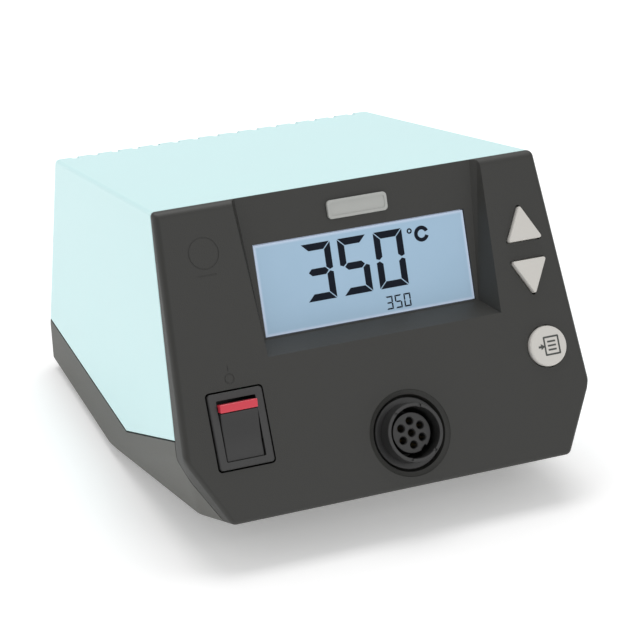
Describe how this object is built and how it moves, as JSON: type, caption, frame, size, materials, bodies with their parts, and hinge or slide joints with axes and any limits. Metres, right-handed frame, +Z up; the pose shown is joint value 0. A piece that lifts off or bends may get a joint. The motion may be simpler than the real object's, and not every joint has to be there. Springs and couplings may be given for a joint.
{
  "type": "soldering iron station",
  "caption": "Low bench power unit with a sloping control panel, lit display, press buttons, rocker mains switch and a round socket for the iron.",
  "frame": {"origin": "under the middle of the whole unit, on the surface that the feet stand on", "axes": "+X to the right as seen from the front, +Y from the control panel to the mains inlet, +Z up"},
  "size_m": [0.1268, 0.1518, 0.0933],
  "materials": {
    "cover_aqua": "satin moulded, light aqua",
    "panel_anthracite": "fine matt texture, warm anthracite",
    "base_grey": "matt, warm grey",
    "button_grey": "soft satin, warm light grey",
    "switch_black": "matt black",
    "marker_red": "glossy red",
    "socket_black": "satin black",
    "display_glass": "clear, with the blue-grey field of the display behind it",
    "light_guide_white": "white light guide",
    "moulding_white": "natural nylon",
    "board_green": "solder-masked laminate",
    "steel": "plated",
    "brass": "turned and stamped brass",
    "copper": "enamelled wire",
    "aluminium": "extruded",
    "capacitor_blue": "shrunk sleeve",
    "ribbon_grey": "flat flexible lead",
    "rubber_black": "matt"
  },
  "bodies": {
    "housing": {"top_cover": "cover_aqua", "front_bezel": "panel_anthracite", "badge_plate": "panel_anthracite", "base_shell": "base_grey", "rear_panel": "base_grey", "switch_housing": "switch_black", "tact_switch_up": "switch_black", "tact_switch_down": "switch_black", "tact_switch_menu": "switch_black", "triac": "switch_black", "socket_shell": "socket_black", "socket_insert": "socket_black", "inlet_body": "socket_black", "display_lens": "display_glass", "lcd_panel": "display_glass", "backlight": "light_guide_white", "lcd_holder": "moulding_white", "transformer_bobbin": "moulding_white", "control_board": "board_green", "power_board": "board_green", "terminal_block": "board_green", "socket_nut": "steel", "cover_screw_left": "steel", "cover_screw_right": "steel", "rear_panel_screw_left": "steel", "rear_panel_screw_right": "steel", "transformer_core": "steel", "transformer_bracket": "steel", "transformer_screw_1": "steel", "transformer_screw_2": "steel", "socket_contact_1": "brass", "socket_contact_2": "brass", "socket_contact_3": "brass", "socket_contact_4": "brass", "socket_contact_5": "brass", "socket_contact_6": "brass", "socket_contact_7": "brass", "switch_terminal_upper": "brass", "switch_terminal_lower": "brass", "inlet_pin_earth": "brass", "inlet_pin_line": "brass", "inlet_pin_neutral": "brass", "bonding_jack": "brass", "primary_winding": "copper", "secondary_winding": "copper", "heat_sink": "aluminium", "capacitor": "capacitor_blue", "ribbon_cable": "ribbon_grey", "foot_front_left": "rubber_black", "foot_front_right": "rubber_black", "foot_rear_left": "rubber_black", "foot_rear_right": "rubber_black"},
    "up_button": {"button_up": "button_grey"},
    "down_button": {"button_down": "button_grey"},
    "menu_button": {"button_menu": "button_grey"},
    "rocker": {"rocker_paddle": "switch_black", "rocker_marker": "marker_red"},
    "fuse_holder": {"fuse_drawer": "socket_black", "fuse": "display_glass"}
  },
  "joints": [
    {"name": "up_button_press", "type": "slide", "parent": "housing", "child": "up_button", "axis": [0, 0.8901, -0.4558], "range_m": [0, 0.0008], "stiffness_N_per_m": 1500},
    {"name": "down_button_press", "type": "slide", "parent": "housing", "child": "down_button", "axis": [0, 0.8901, -0.4558], "range_m": [0, 0.0008], "stiffness_N_per_m": 1500},
    {"name": "menu_button_press", "type": "slide", "parent": "housing", "child": "menu_button", "axis": [0, 0.8901, -0.4558], "range_m": [0, 0.0008], "stiffness_N_per_m": 1500},
    {"name": "rocker_tilt", "type": "hinge", "parent": "housing", "child": "rocker", "pos_m": [-0.0456, -0.06144, 0.03645], "axis": [1, 0, 0], "range_deg": [-18, 0]},
    {"name": "fuse_holder_slide", "type": "slide", "parent": "housing", "child": "fuse_holder", "axis": [0, 0.9924, 0.1232], "range_m": [0, 0.014]}
  ]
}
